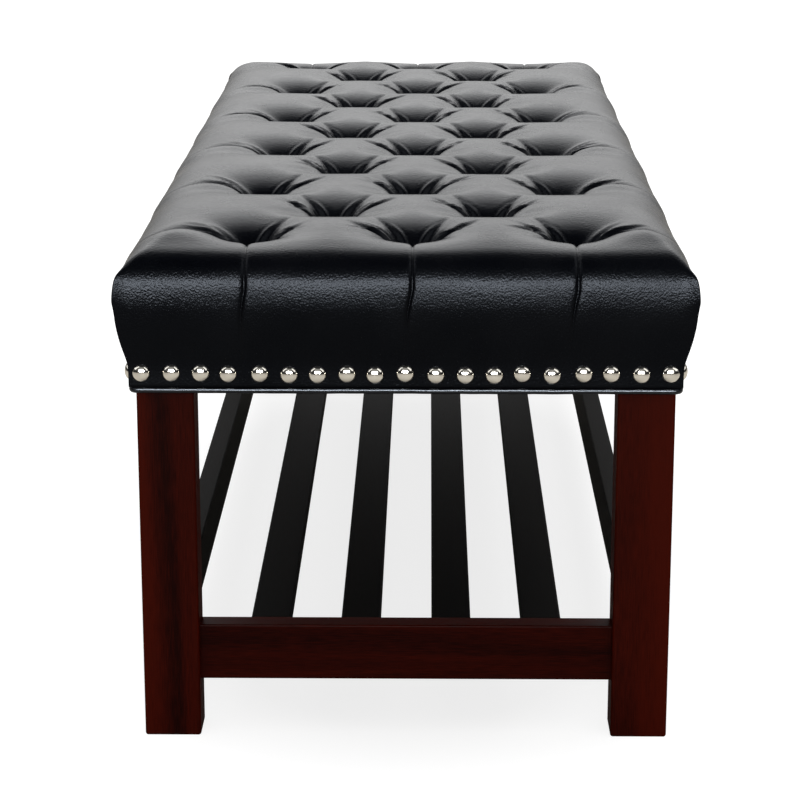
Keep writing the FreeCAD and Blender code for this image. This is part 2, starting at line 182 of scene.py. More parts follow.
# painted shade: the glow dims towards the bench's middle, whatever the lamps do
beside = addNode(tree, "VectorMath", {0: place, 1: studio["paintedShadeShape"]}, operation="MULTIPLY")
beside = addNode(tree, "VectorMath", {0: beside}, operation="LENGTH")
glow = addNode(tree, "MapRange", {"Value": beside.outputs["Value"],
                                  "From Min": studio["paintedShadeReach"][0], "From Max": studio["paintedShadeReach"][1],
                                  "To Min": studio["floorGlowPaintedShade"][0], "To Max": studio["floorGlowPaintedShade"][1]})
glow = addNode(tree, "Emission", {"Color": (1.0, 1.0, 1.0, 1.0), "Strength": glow})
bright = addNode(tree, "AddShader", {0: thin, 1: glow})
mixed = addNode(tree, "MixShader", {"Fac": seen, 1: paper, 2: bright})
addNode(tree, "OutputMaterial", {"Surface": mixed})
dress(studioFloor, floorPaper)

# White surround: full white for the eye. Reflections see a bright far side, dim towards the camera, to the left
# and right, low down and overhead.
surround = {
    "lit": 0.6, "mirrored": 3.8,  # on matt surfaces, and in reflections at the brightest
    "byY": [(0.36, 0.1), (0.74, 1.0)],  # 0 towards the camera, 1 away from it
    "byZ": [(0.04, 0.2), (0.14, 0.32), (0.27, 0.72), (0.42, 1.0), (0.75, 1.0), (0.92, 0.05)],  # 0 at the horizon
    "byX": [(0.26, 1.0), (0.62, 0.1)],  # 0 ahead, 1 to the side
}
world = bpy.data.worlds.new("whiteStudio")
scene.world = world
world.use_nodes = True
tree = world.node_tree
tree.nodes.clear()
ray, seen = raysSeen(tree)
direction = addNode(tree, "TexCoord").outputs["Generated"]
parts = addNode(tree, "SeparateXYZ", {0: direction})
away = addNode(tree, "Math", {0: parts.outputs["Y"], 1: 0.5, 2: 0.5}, operation="MULTIPLY_ADD")
aside = addNode(tree, "Math", {0: parts.outputs["X"]}, operation="ABSOLUTE")
level = surround["mirrored"]
for way, key in ((away, "byY"), (parts.outputs["Z"], "byZ"), (aside, "byX")):
    shade = addNode(tree, "ValToRGB", {"Fac": way}, stops=surround[key])
    level = addNode(tree, "Math", {0: level, 1: shade}, operation="MULTIPLY")
lit, mirrored, white = [addNode(tree, "Background", {"Color": (1, 1, 1, 1), "Strength": strength})
                        for strength in (surround["lit"], level, 1.0)]
unseen = addNode(tree, "MixShader", {"Fac": ray["Is Glossy Ray"], 1: lit, 2: mirrored})
both = addNode(tree, "MixShader", {"Fac": seen, 1: unseen, 2: white})
addNode(tree, "OutputWorld", {"Surface": both})

# Softboxes: place, what each points at, size across and up, brightness of its face, and what it shows in.
# The overhead one lights the matt finishes. The others show only as reflections, in the leather and the nails.
lamps = {
    "overheadSoftbox": ((0.2, 0.4, 3.0), (0.0, 0.0, 0.3), (2.6, 2.6), 3.0, "matt"),
    "frontSoftbox": ((-0.1, -3.2, 1.13), (0.0, -0.63, 0.41), (2.3, 0.68), 50.0, "gloss"),
    "leftSoftbox": ((-1.9, -0.6, 2.1), (0.0, -0.5, 0.35), (2.4, 2.0), 1.5, "gloss"),
    "rightSoftbox": ((1.9, -0.9, 2.1), (0.0, -0.5, 0.35), (2.4, 2.0), 1.5, "gloss"),
}
for name, (lampPlace, aim, size, brightness, use) in lamps.items():
    lampData = bpy.data.lights.new(name, "AREA")
    lampData.shape = "RECTANGLE"
    lampData.size, lampData.size_y = size
    lampData.energy = brightness * math.pi * size[0] * size[1]
    lampData.color = (1.0, 1.0, 1.0)
    lamp = addObject(name, lampData)
    lamp.location = lampPlace
    lamp.rotation_euler = (Vector(aim) - Vector(lampPlace)).to_track_quat("-Z", "Y").to_euler()
    lamp.visible_camera = lamp.visible_transmission = False
    lamp.visible_diffuse = use == "matt"
    lamp.visible_glossy = use == "gloss"
print("studio ready")


# Materials

leatherLook = {
    "colour": "030408", "worn": "08090d",
    "pebble": 1.5,  # mm across; the real grain is about 1 mm, drawn coarser so that it shows
    "warp": (260.0, 0.0016),  # scale and metres of the drift that keeps the pebbles from a pattern
    "crease": 9.0, "creaseDepth": 0.2,  # mm between the fine stretch lines, and their depth
    "roughness": (0.22, 0.3),
    "tint": (0.8, 0.88, 1.0, 1.0),  # the blue of the black dye
}


def pebbledLeather(name, grainDepth, ior):
    # Drum-dyed cow hide with an embossed pebble grain: near black, soft sheen, fine sparkle in highlights
    look = leatherLook
    material, tree, place = startMaterial(name)
    bend = addNode(tree, "TexNoise", {"Vector": place, "Scale": look["warp"][0], "Detail": 2.0})
    shifted = addNode(tree, "VectorMath", {0: bend.outputs["Color"], "Scale": look["warp"][1]}, operation="SCALE")
    warped = addNode(tree, "VectorMath", {0: place, 1: shifted}, operation="ADD")
    pebbles = addNode(tree, "TexVoronoi", {"Vector": warped, "Scale": 1000 / look["pebble"]}, feature="SMOOTH_F1")
    fine = addNode(tree, "TexNoise", {"Vector": place, "Scale": 1500.0, "Detail": 2.0})
    grain = addNode(tree, "Math", {0: fine, 1: 0.35, 2: pebbles}, operation="MULTIPLY_ADD")
    long = addNode(tree, "Mapping", {"Vector": place, "Scale": (1.0, 3.2, 1.6)})
    creases = addNode(tree, "TexNoise", {"Vector": long, "Scale": 1000 / look["crease"] / 2, "Detail": 4.0,
                                         "Distortion": 1.2})
    bump = addNode(tree, "Bump", {"Height": grain, "Strength": 0.7, "Distance": grainDepth * mm})
    bump = addNode(tree, "Bump", {"Height": creases, "Strength": 0.5, "Distance": look["creaseDepth"] * mm,
                                  "Normal": bump})
    patches = addNode(tree, "TexNoise", {"Vector": place, "Scale": 14.0, "Detail": 5.0})
    colour = addNode(tree, "ValToRGB", {"Fac": patches}, stops=[(0.35, look["colour"]), (0.75, look["worn"])])
    rough = addNode(tree, "MapRange", {"Value": patches, "From Min": 0.3, "From Max": 0.7,
                                       "To Min": look["roughness"][0], "To Max": look["roughness"][1]})
    return finishMaterial(material, {"Base Color": colour, "Roughness": rough, "Normal": bump, "IOR": ior,
                                     "Specular Tint": look["tint"]})


woodLook = {
    "mahogany": {"dark": "1c0200", "light": "420b01", "grain": 2.2, "roughness": 0.4, "sheen": 0.015},
    # the shelf's mahogany made darker, as painted shade for the shade it stands in under the seat
    "shadedMahogany": {"dark": "030202", "light": "0a0705", "grain": 2.2, "roughness": 0.55, "sheen": 0.012},
    "hardwood": {"dark": "9c7a4e", "light": "caa977", "grain": 3.0, "roughness": 0.6, "sheen": 0.4},
    "beech": {"dark": "b98f62", "light": "d9b68a", "grain": 1.2, "roughness": 0.55, "sheen": 0.4},
    "plywood": {"dark": "b18d5c", "light": "d8bb88", "grain": 4.5, "roughness": 0.62, "sheen": 0.4},
}


def sawnWood(name, kind, along):
    # Sawn timber, its grain running along one axis: long soft figure with fine pores
    look = woodLook[kind]
    material, tree, place = startMaterial(name)
    squash = [0.055 if axis == along else 1.0 for axis in "XYZ"]
    run = addNode(tree, "Mapping", {"Vector": place, "Scale": squash})
    figure = addNode(tree, "TexNoise", {"Vector": run, "Scale": 1000 / look["grain"] / 16, "Detail": 6.0,
                                        "Distortion": 0.6})
    pores = addNode(tree, "TexNoise", {"Vector": run, "Scale": 1000 / look["grain"] * 2.2, "Detail": 3.0})
    both = addNode(tree, "Math", {0: pores, 1: 0.45, 2: figure}, operation="MULTIPLY_ADD")
    colour = addNode(tree, "ValToRGB", {"Fac": both}, stops=[(0.52, look["dark"]), (0.88, look["light"])])
    rough = addNode(tree, "MapRange", {"Value": pores, "To Min": look["roughness"] - 0.05,
                                       "To Max": look["roughness"] + 0.09})
    bump = addNode(tree, "Bump", {"Height": both, "Strength": 0.35, "Distance": 0.12 * mm})
    return finishMaterial(material, {"Base Color": colour, "Roughness": rough, "Normal": bump,
                                     "Specular IOR Level": look["sheen"]})


metalLook = {
    "nickel": {"colour": "d9d5cc", "roughness": (0.07, 0.16), "scratch": 900.0, "depth": 0.01},
    "zinc": {"colour": "c3c5c4", "roughness": (0.28, 0.42), "scratch": 500.0, "depth": 0.02},
}


def platedMetal(name, kind):
    # Plated steel: bright nickel that was polished, or zinc with its slight spangle
    look = metalLook[kind]
    material, tree, place = startMaterial(name)
    marks = addNode(tree, "TexNoise", {"Vector": place, "Scale": look["scratch"], "Detail": 5.0})
    rough = addNode(tree, "MapRange", {"Value": marks, "From Min": 0.3, "From Max": 0.7,
                                       "To Min": look["roughness"][0], "To Max": look["roughness"][1]})
    bump = addNode(tree, "Bump", {"Height": marks, "Strength": 0.3, "Distance": look["depth"] * mm})
    return finishMaterial(material, {"Base Color": hexColour(look["colour"]), "Metallic": 1.0, "Roughness": rough,
                                     "Normal": bump})


fibreLook = {
    "dustCloth": {"dark": "0c0c0c", "light": "222222", "thread": 1.4, "roughness": 0.92},
    "waxedTwine": {"dark": "8f8468", "light": "c9bd9f", "thread": 0.6, "roughness": 0.7},
    "vulcanisedFibre": {"dark": "4a1d15", "light": "6e3124", "thread": 2.5, "roughness": 0.6},
}


def feltedFibre(name, kind):
    # Fibres pressed or twisted together: matt, with a fine random thread
    look = fibreLook[kind]
    material, tree, place = startMaterial(name)
    threads = addNode(tree, "TexNoise", {"Vector": place, "Scale": 1000 / look["thread"], "Detail": 4.0,
                                         "Distortion": 2.0})
    colour = addNode(tree, "ValToRGB", {"Fac": threads}, stops=[(0.35, look["dark"]), (0.65, look["light"])])
    bump = addNode(tree, "Bump", {"Height": threads, "Strength": 0.5, "Distance": 0.2 * mm})
    return finishMaterial(material, {"Base Color": colour, "Roughness": look["roughness"], "Normal": bump})


coverLeather = pebbledLeather("pebbledCowHide", 0.32, 1.15)  # grain depth in mm, and a low IOR for soft, dry black
trimLeather = pebbledLeather("skivedCowHideTrim", 0.12, 1.4)
woods = {(kind, along): sawnWood(f"{label}Along{along}", kind, along)
         for kind, label, axes in (("mahogany", "stainedMahogany", "XZ"), ("shadedMahogany", "paintedShadeMahogany", "Y"),
                                   ("hardwood", "planedPoplar", "XY"),
                                   ("beech", "turnedBeech", "XYZ"), ("plywood", "birchPlywood", "Y"))
         for along in axes}
nickel = platedMetal("polishedNickelPlate", "nickel")
zinc = platedMetal("zincPlatedSteel", "zinc")
spunbond = feltedFibre("spunbondDustCloth", "dustCloth")
twineFibre = feltedFibre("waxedLinenTwine", "waxedTwine")
washerFibre = feltedFibre("vulcanisedFibreWasher", "vulcanisedFibre")

# The CAD pieces take these by how their names start, and the first that fits holds
cadFinishes = [
    (("leg_front", "leg_back"), woods["mahogany", "Z"]),
    # the shelf takes the darker copy of the mahogany: painted shade
    (("shelf_side", "shelf_slat"), woods["shadedMahogany", "Y"]),
    ("shelf_stretcher", woods["mahogany", "X"]),
    (("seat_rail_left", "seat_rail_right"), woods["hardwood", "Y"]),
    (("seat_rail", "seat_cross", "corner_block"), woods["hardwood", "X"]),
    ("seat_deck", woods["plywood", "Y"]),
    (("side_rail_dowels", "slat_dowels"), woods["beech", "Y"]),
    ("stretcher_dowels", woods["beech", "X"]),
    ("leg_dowels", woods["beech", "Z"]),
    (("leg_bolt", "frame_screws", "deck_screws", "dust_cover_staples"), zinc),
    ("dust_cover", spunbond),
    ("tufting_twines", twineFibre),
    ("twine_washers", washerFibre),
    ("nailheads", nickel),
    ("", coverLeather),
]
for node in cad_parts:
    dress(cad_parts[node], next(finish for starts, finish in cadFinishes if node.startswith(starts)))
print("materials on", len(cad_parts), "nodes")


# Leather cover: a tufted top, its roll, and the sides down to the nailed band

cover = {
    "halfWidth": 248.6, "halfLength": 634.4,  # to the widest line of the sides
    "crest": 454.0, "bottom": 324.1, "bandTop": 346.0,
    "wideRows": 6, "rowPitch": 221.0, "buttonPitch": 141.5,
    "blend": 4.0,  # how sharply one form gives way to the next; higher is sharper
    "pitSquash": 0.85,  # pits are wider than they are long
    "backTurn": (0.35, 0.5), "frontTurn": (0.25, 0.6),  # sine of the way where those profiles start, and their ease
    "foldLead": 1.6, "foldWidth": (12.0, 24.0), "foldOpen": 50.0,  # the widths are of the far side and the near side
    "pleatDepth": 9.0, "pleatWidth": (6.0, 46.0), "pleatPuff": 2.5,  # near side, far side
    "pleatCut": 4.0, "pleatOver": 1.2, "pleatOpen": 30.0,
    "rollFrom": 50.0, "rollRun": 45.0,  # beyond the outer tufts, where the pleats go over the roll
    "seamDip": 0.4, "seamWidth": 18.0, "seamCut": 2.8, "lineFrom": 12.0,  # stitched lines start beside the buttons
    "ear": 7.0, "earOut": 1.5, "earReach": 8.0,  # the hide stands up a little at the four corners
    "gridAcross": 22,  # grid steps in half a button pitch, and in half a row pitch
    "edgeStep": 4.6, "seamBeside": 1.1,
    "tuftShift": 5.0, "tuftWander": 2.2, "tuftReach": 42.0,  # set by hand, a little to the right of the middle
    "seed": 7,
}
halfWidth, halfLength, pitch = cover["halfWidth"], cover["halfLength"], cover["buttonPitch"]
lastRow = cover["rowPitch"] * (cover["wideRows"] - 1) / 2
rowLines = [-lastRow + number * cover["rowPitch"] / 2 for number in range(2 * cover["wideRows"] - 1)]
tufts = [(place * pitch, row) for number, row in enumerate(rowLines)
         for place in ((-1, 0, 1) if number % 2 == 0 else (-0.5, 0.5))]

# The roll, as distance in from the widest line and height: over the long sides, over the ends, and the sides down
sideRoll = [(112, 454), (90, 454), (78, 454), (60, 453.2), (45, 450.8), (32, 447), (22, 442.4), (14, 436.8), (8.5, 431),
            (5, 425.6), (2.9, 420), (1.6, 413.5), (0.8, 407), (0.2, 401), (0, 396)]
endRoll = [(112, 454), (90, 453.2), (78, 452), (62, 449.8), (45, 446.9), (34, 444.4), (28, 443), (23.4, 441.7),
           (18.1, 439.2), (13.2, 435.8), (9, 431.6), (5.6, 426.7), (2.7, 420.2), (1.5, 413.3), (0.7, 407), (0.2, 401),
           (0, 396)]
sideProfile = [(0, 396), (0.2, 390), (0.8, 383), (2, 375), (3.8, 366), (6, 357.5), (8.2, 350), (9.4, 346), (10, 340),
               (10, 332), (10, 324.1)]

# Depth below the crest, at a distance from a button: towards the front, to the sides, towards the back, and beyond
# the last row at either end. The fold's is at a distance from its nearer button.
pitFront = [(0, 43), (7, 42), (9.5, 37), (12, 29), (15.5, 21.5), (20, 16.5), (26, 13.4), (34, 11.2), (44, 8.6),
            (56, 5.4), (70, 2.4), (86, 0.7), (100, 0)]
pitSide = [(0, 43), (7, 42), (9.5, 37), (12, 28), (15, 20), (19, 14), (25, 9), (33, 5.4), (43, 3), (56, 1.2), (70, 0.3),
           (84, 0)]
pitBack = [(0, 43), (7, 42), (10, 37), (13, 30), (17, 24), (23, 18), (31, 12.8), (41, 8.4), (53, 5), (67, 2.6), (83, 1),
           (99, 0.3), (111, 0)]
pitEnd = [(0, 43), (7, 42), (9.5, 37), (12, 28), (15, 20), (19, 13.5), (24, 8.8), (31, 5.2), (40, 2.8), (52, 1.2),
          (66, 0.3), (80, 0)]
foldProfile = [(0, 43), (9, 42), (14, 34), (20, 26), (28, 18), (38, 11.5), (50, 7), (64, 4.2), (90, 3.4)]


def eased(table, at, blur=2.0):
    # a table read as a smooth curve
    table = np.array(table, float)
    fine = np.arange(table[0, 0] - 8 * blur, table[-1, 0] + 8 * blur, 0.25)
    values = np.interp(fine, table[:, 0], table[:, 1])
    kernel = np.exp(-0.5 * (np.arange(-4 * blur, 4 * blur + 0.25, 0.25) / blur) ** 2)
    values = np.convolve(values, kernel / kernel.sum(), "same")
    return np.interp(at, fine[20:-20], values[20:-20])


def evenPoints(table, step):
    # points along a profile at even steps, rounded a little, the ends kept
    table = np.array(table, float)
    run = np.concatenate([[0], np.cumsum(np.hypot(*np.diff(table, axis=0).T))])
    count = max(2, int(round(run[-1] / step)) + 1)
    at = np.linspace(0, run[-1], count)
    both = [eased(np.stack([run, table[:, n]], 1), at, 3.0) for n in (0, 1)]
    made = np.stack(both, 1)
    made[0], made[-1] = table[0], table[-1]
    return made


rollPoints = evenPoints(sideRoll, cover["edgeStep"])
rollPoints = rollPoints[rollPoints[:, 0] <= 78.0]
sidePoints = evenPoints(sideProfile, cover["edgeStep"])


def gridLine(half, inner, innerSteps, every, closeBy):
    # plan coordinates of the grid lines from one edge to the other, with a close pair at each seam or pleat
    flat = half - rollPoints[0, 0]
    count = max(1, int(round((flat - inner) / cover["edgeStep"])))
    outer = np.concatenate([np.linspace(inner, flat, count + 1)[1:], (half - rollPoints[1:, 0])])
    middle = np.linspace(-inner, inner, innerSteps + 1)
    beside = [line + way * closeBy for line in middle[::every] for way in (-1, 1)]
    return np.array(sorted([*-outer, *middle, *outer, *beside]))


def drop(roll, distance):
    # how far below the crest a roll is, at a distance in from the widest line
    table = evenPoints(roll, 1.5)
    return cover["crest"] - np.interp(distance, table[::-1, 0], table[::-1, 1])


def softStep(at):
    at = np.clip(at, 0, 1)
    return at * at * (3 - 2 * at)


def trough(aside, nearWidth, farWidth, power=2.0):
    # cross section of a fold: 1 at its line, 0 at its width, which differs on the two sides
    width = np.where(aside < 0, nearWidth, farWidth)
    return np.clip(1 - np.abs(aside) / width, 0, 1) ** power


def valleyDepth(x, y):
    # depth of the pits, folds, pleats and end seams, over the cover laid out flat
    c = cover
    total = np.zeros_like(x)

    def include(depth):
        nonlocal total
        total = total + np.clip(depth, 0, None) ** c["blend"]

    for bx, by in tufts:
        reach = np.hypot(c["pitSquash"] * (x - bx), y - by)
        way = (y - by) / np.maximum(reach, 6.0)
        back, front = [softStep((sign * way - start) / ease)
                       for sign, (start, ease) in ((1, c["backTurn"]), (-1, c["frontTurn"]))]
        behind = pitBack if by < lastRow - 1 else pitEnd
        before = pitFront if by > 1 - lastRow else pitEnd
        include(eased(before, reach) * front + eased(behind, reach) * back + eased(pitSide, reach) * (1 - back - front))
    farWidth, nearWidth = c["foldWidth"]
    for ax, ay in tufts:
        for bx, by in tufts:
            if by > ay and by - ay < c["rowPitch"] * 0.6 and abs(bx - ax) < pitch * 0.6:
                length = math.hypot(bx - ax, by - ay)
                ux, uy = (bx - ax) / length, (by - ay) / length
                along = (x - ax) * ux + (y - ay) * uy
                aside = (x - ax) * uy - (y - ay) * ux  # positive to the right of the fold
                aside = aside * (1 if bx > ax else -1)  # positive towards the pad that is nearer the front
                close = np.clip(np.minimum(along, (length - along) * c["foldLead"]), 0, None)
                spread = np.clip(close / c["foldOpen"], 0.25, 1.0)
                shape = trough(-aside, nearWidth * (0.4 + 0.6 * spread), farWidth * spread, 1.8)
                include(np.where((along > 0) & (along < length), eased(foldProfile, close) * shape, 0))
    nearWidth, farWidth = c["pleatWidth"]
    puff = np.zeros_like(x)
    for by in rowLines[::2]:
        for side in (-1, 1):
            along = side * x - pitch
            away = np.clip(along, 0, None)
            over = np.clip((away - c["rollFrom"]) / c["rollRun"], 0, 1)  # 1 where the pleat has gone over the roll
            floor = np.maximum(eased(foldProfile, away) - 3.0, 0) + np.clip(away / c["pleatOpen"], 0, 1) * \
                (c["pleatDepth"] + (c["pleatOver"] - c["pleatDepth"]) * over)
            widen = np.clip(away / c["rollFrom"], 0.35, 1.0) * (1 - 0.65 * over)
            shape = floor * trough(y - by, nearWidth, farWidth * widen, 2.2)
            shape += c["pleatCut"] * trough(y - by, 2.5, 6.0, 1.2) * np.clip((away - c["lineFrom"]) / 20.0, 0, 1)
            include(np.where(along > 0, shape, 0))
            # the pad stands up a little in front of its pleat
            rise = np.clip((along - 10) / 40.0, 0, 1) * np.clip((115.0 - along) / 40.0, 0.15, 1)
            puff += rise * np.exp(-((y - by + 20) / 16.0) ** 2)
    for bx in (-pitch, 0, pitch):
        for end in (-1, 1):
            away = np.clip(end * y - lastRow, 0, None)
            floor = np.maximum(eased(foldProfile, away * 1.3) - 3.4, 0) + c["seamDip"] * np.clip(away / 30.0, 0, 1)
            wide = floor * trough(x - bx, c["seamWidth"], c["seamWidth"], 2.0)
            cut = c["seamCut"] * trough(x - bx, 2.0, 1.7, 1.7) * np.clip((away - c["lineFrom"]) / 10.0, 0, 1)
            include(np.where(end * y > lastRow, wide + cut, 0))
    return total ** (1 / c["blend"]) - c["pleatPuff"] * puff


def foldLines(x, y):
    # true on a fold between buttons, a button, a side pleat or an end seam
    c = cover
    u = x / (pitch / 2)
    v = y / (c["rowPitch"] / 2)
    diagonal = np.zeros_like(x, bool)
    for sign in (-1, 1):
        value = (u + sign * v + c["wideRows"] + 1) % 2.0
        diagonal |= np.minimum(value, 2 - value) < 0.003
    diagonal &= (np.abs(x) <= pitch + 0.1) & (np.abs(y) <= lastRow + 0.1)
    straight = np.zeros_like(x, bool)
    for by in rowLines[::2]:
        straight |= (np.abs(y - by) < 0.1) & (np.abs(x) >= pitch - 0.1)
    for bx in (-pitch, 0, pitch):
        straight |= (np.abs(x - bx) < 0.1) & (np.abs(y) >= lastRow - 0.1)
    return diagonal, straight


def layOut(line, half):
    # the flat layout runs on down the roll by its length, not by its plan distance
    inside = half - np.abs(line)
    run = cover["edgeStep"] * np.arange(len(rollPoints)) + half - rollPoints[0, 0]
    down = np.sign(line) * np.interp(inside, rollPoints[::-1, 0], run[::-1])
    return np.where(inside >= rollPoints[0, 0], line, down)


def buildCoverGrid():
    # points, their place in the flat layout, faces, and which points are held
    c = cover
    steps = c["gridAcross"]
    xs = gridLine(halfWidth, pitch, 4 * steps, 2 * steps, c["seamBeside"])
    ys = gridLine(halfLength, lastRow, 2 * (c["wideRows"] - 1) * steps, 2 * steps,
                  c["seamBeside"] * c["rowPitch"] / pitch)
    nx, ny = len(xs), len(ys)
    x, y = np.meshgrid(xs, ys, indexing="ij")
    inX, inY = halfWidth - np.abs(x), halfLength - np.abs(y)
    fall = (drop(sideRoll, inX) ** 12 + drop(endRoll, inY) ** 12) ** (1 / 12)
    ear = np.exp(-(np.hypot(inX, inY) / c["earReach"]) ** 2)
    top = np.stack([x + np.sign(x) * c["earOut"] * ear, y + np.sign(y) * c["earOut"] * ear,
                    c["crest"] - fall + c["ear"] * ear], -1)
    normal = np.cross(np.gradient(top, axis=0), np.gradient(top, axis=1))
    normal /= np.linalg.norm(normal, axis=-1, keepdims=True)
    flatX, flatY = layOut(x, halfWidth), layOut(y, halfLength)
    points, outward = list(top.reshape(-1, 3)), list(normal.reshape(-1, 3))
    flat = list(np.stack([flatX, flatY], -1).reshape(-1, 2))
    diagonal, straight = [held.ravel() for held in foldLines(x, y)]
    index = lambda i, j: i * ny + j
    faces = []
    for i in range(nx - 1):
        for j in range(ny - 1):
            a, b, d, e = index(i, j), index(i + 1, j), index(i + 1, j + 1), index(i, j + 1)
            if diagonal[a] and diagonal[d] and not (diagonal[b] and diagonal[e]):
                faces += [(a, b, d), (a, d, e)]
            elif diagonal[b] and diagonal[e] and not (diagonal[a] and diagonal[d]):
                faces += [(a, b, e), (b, d, e)]
            else:
                faces.append((a, b, d, e))
    loop = [index(i, 0) for i in range(nx - 1)] + [index(nx - 1, j) for j in range(ny - 1)]
    loop += [index(i, ny - 1) for i in range(nx - 1, 0, -1)] + [index(0, j) for j in range(ny - 1, 0, -1)]
    lines = set(np.nonzero(diagonal | straight)[0].tolist())
    band, cornerLine = set(), {index(i, j) for i in (0, nx - 1) for j in (0, ny - 1)}
    previous, run = loop, 0.0
    for number, (inset, height) in enumerate(sidePoints[1:], 1):
        run += float(np.hypot(*(sidePoints[number] - sidePoints[number - 1])))
        ring = []
        for base in loop:
            px, py = x.flat[base], y.flat[base]
            onX, onY = abs(abs(px) - halfWidth) < 0.01, abs(abs(py) - halfLength) < 0.01
            way = np.array([math.copysign(1, px) * onX, math.copysign(1, py) * onY, 0.0])
            pull = 1.2 * np.clip((height - c["bandTop"]) / 20, 0.3, 1) if onX and onY else 0.0
            # towards a corner the face draws in with the one that it meets there
            partX = max(0.0, abs(px) - pitch) / (halfWidth - pitch) * (not onX)
            partY = max(0.0, abs(py) - lastRow) / (halfLength - lastRow) * (not onY)
            sideways = inset * np.array([math.copysign(partX, px), math.copysign(partY, py), 0.0])
            points.append(np.array([px, py, height]) - way * (inset + pull) - sideways)
            flat.append(np.array([flatX.flat[base], flatY.flat[base]]) + way[:2] * run)
            outward.append(way / max(1.0, math.hypot(*way[:2])))
            ring.append(len(points) - 1)
            if base in lines:
                lines.add(ring[-1])
            if onX and onY:
                cornerLine.add(ring[-1])
        count = len(loop)
        faces += [(previous[n], ring[n], ring[n + 1 - count], previous[n + 1 - count]) for n in range(count)]
        if height <= c["bandTop"] + 0.01:
            band.update(ring)
        previous = ring
    points, flat, outward = np.array(points), np.array(flat), np.array(outward)
    depth = valleyDepth(flat[:, 0], flat[:, 1])
    fade = np.clip((points[:, 2] - c["bandTop"] + 3) / 55.0, 0.0, 1.0)
    limit = np.where(points[:, 2] < c["bandTop"] + 2, 0.7, 1000.0)
    points -= outward * np.minimum(depth * fade, limit)[:, None]
    near = np.min([np.hypot(flat[:, 0] - bx, flat[:, 1] - by) for bx, by in tufts], axis=0)
    groups = {"folds": lines, "corners": cornerLine, "firm": band | set(np.nonzero(near < 9.5)[0].tolist())}
    return points, flat, faces, groups


swell = {
    "held": {"folds": 0.9, "corners": 0.8, "firm": 1.0},
    "frames": 15,
    "cloth": {"quality": 3, "mass": 0.25, "tension_stiffness": 18.0, "compression_stiffness": 18.0,
              "shear_stiffness": 8.0, "bending_stiffness": 0.35, "air_damping": 4.0, "use_pressure": True,
              "uniform_pressure_force": 4.0, "pin_stiffness": 1.0},
    "passes": 6, "share": 0.6,  # of evening out, and the neighbours' part in each
    "cap": 3.5,
    "endTaut": 0.7, "endReach": 60.0,  # the hide is pulled tight beyond the last row
}


def swellCover(piece, groups):
    # Cloth held at the buttons, folds and band, and blown out from inside
    s = swell
    pins = piece.vertex_groups.new(name="held")
    for name, weight in s["held"].items():
        pins.add(sorted(groups[name]), weight, "REPLACE")
    cloth = piece.modifiers.new("swell", "CLOTH")
    for name, value in s["cloth"].items():
        setattr(cloth.settings, name, value)
    cloth.settings.vertex_group_mass = pins.name
    cloth.settings.effector_weights.gravity = 0.0
    cloth.collision_settings.use_collision = False
    cloth.point_cache.frame_start, cloth.point_cache.frame_end = 1, s["frames"]
    for number in range(1, s["frames"] + 1):
        scene.frame_set(number)
    moved = readOut(piece.evaluated_get(bpy.context.evaluated_depsgraph_get()).data.vertices, "co")
    piece.modifiers.remove(cloth)
    scene.frame_set(1)
    start = readOut(piece.data.vertices, "co")
    step = moved - start
    # evened out over neighbours, and held under the cap
    ends = readOut(piece.data.edges, "vertices", 2, int)
    around = np.bincount(ends.ravel(), minlength=len(start)).reshape(-1, 1).astype(float)
    for _ in range(s["passes"]):
        total = np.zeros_like(step)
        np.add.at(total, ends[:, 0], step[ends[:, 1]])
        np.add.at(total, ends[:, 1], step[ends[:, 0]])
        step = (1 - s["share"]) * step + s["share"] * total / around
    size = np.linalg.norm(step, axis=1, keepdims=True)
    cap = s["cap"] * mm
    taut = 1 - s["endTaut"] * softStep((np.abs(start[:, 1]) / mm - lastRow) / s["endReach"])
    step *= cap / (cap + size) * taut[:, None]
    piece.data.vertices.foreach_set("co", (start + step).ravel())
    kept = np.linalg.norm(step, axis=1)
    print(f"cover swelled: cloth {size.max() * 1000:.1f} mm, kept {kept.max() * 1000:.1f} mm")


def wander(points, flat):
    # the tufts sit where they were set by hand: a slow drift of the top in plan
    c = cover
    rng = random.Random(c["seed"])
    shift = np.zeros((len(points), 2))
    weight = np.full(len(points), 1e-6)
    for bx, by in tufts:
        drift = [[c["tuftShift"] + rng.uniform(-1, 1) * c["tuftWander"], rng.uniform(-1, 1) * c["tuftWander"]]]
        near = np.exp(-((flat[:, 0] - bx) ** 2 + (flat[:, 1] - by) ** 2) / (2 * c["tuftReach"] ** 2))
        shift += near[:, None] * np.array(drift)
        weight += near
    shift /= np.maximum(weight, 0.05)[:, None]
    inside = np.array([halfWidth, halfLength]) - np.abs(points[:, :2])
    moved = points.copy()
    moved[:, :2] += shift * np.clip(inside / 60.0, 0, 1)
    return moved


def makeCover():
    points, flat, faces, groups = buildCoverGrid()
    points = wander(points, flat)
    mesh = bpy.data.meshes.new("leatherCover")
    mesh.from_pydata((points * mm).tolist(), [], faces)
    layout = mesh.attributes.new("flatLayout", "FLOAT_VECTOR", "POINT")
    layout.data.foreach_set("vector", np.column_stack([flat, np.zeros(len(flat))]).ravel())
    piece = addObject("leatherCover", mesh)
    swellCover(piece, groups)
    finish = piece.modifiers.new("smooth", "SUBSURF")
    finish.levels = finish.render_levels = 1
    finish.boundary_smooth = "PRESERVE_CORNERS"
    workIn(piece)
    gatherWrinkles(piece.data)
    closeUnderside(piece)
    piece.data.polygons.foreach_set("use_smooth", [True] * len(piece.data.polygons))
    dress(piece, coverLeather)
    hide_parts("seat_cover", "seat_foam")
    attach(piece, "root")
    print("cover:", len(piece.data.polygons), "faces")


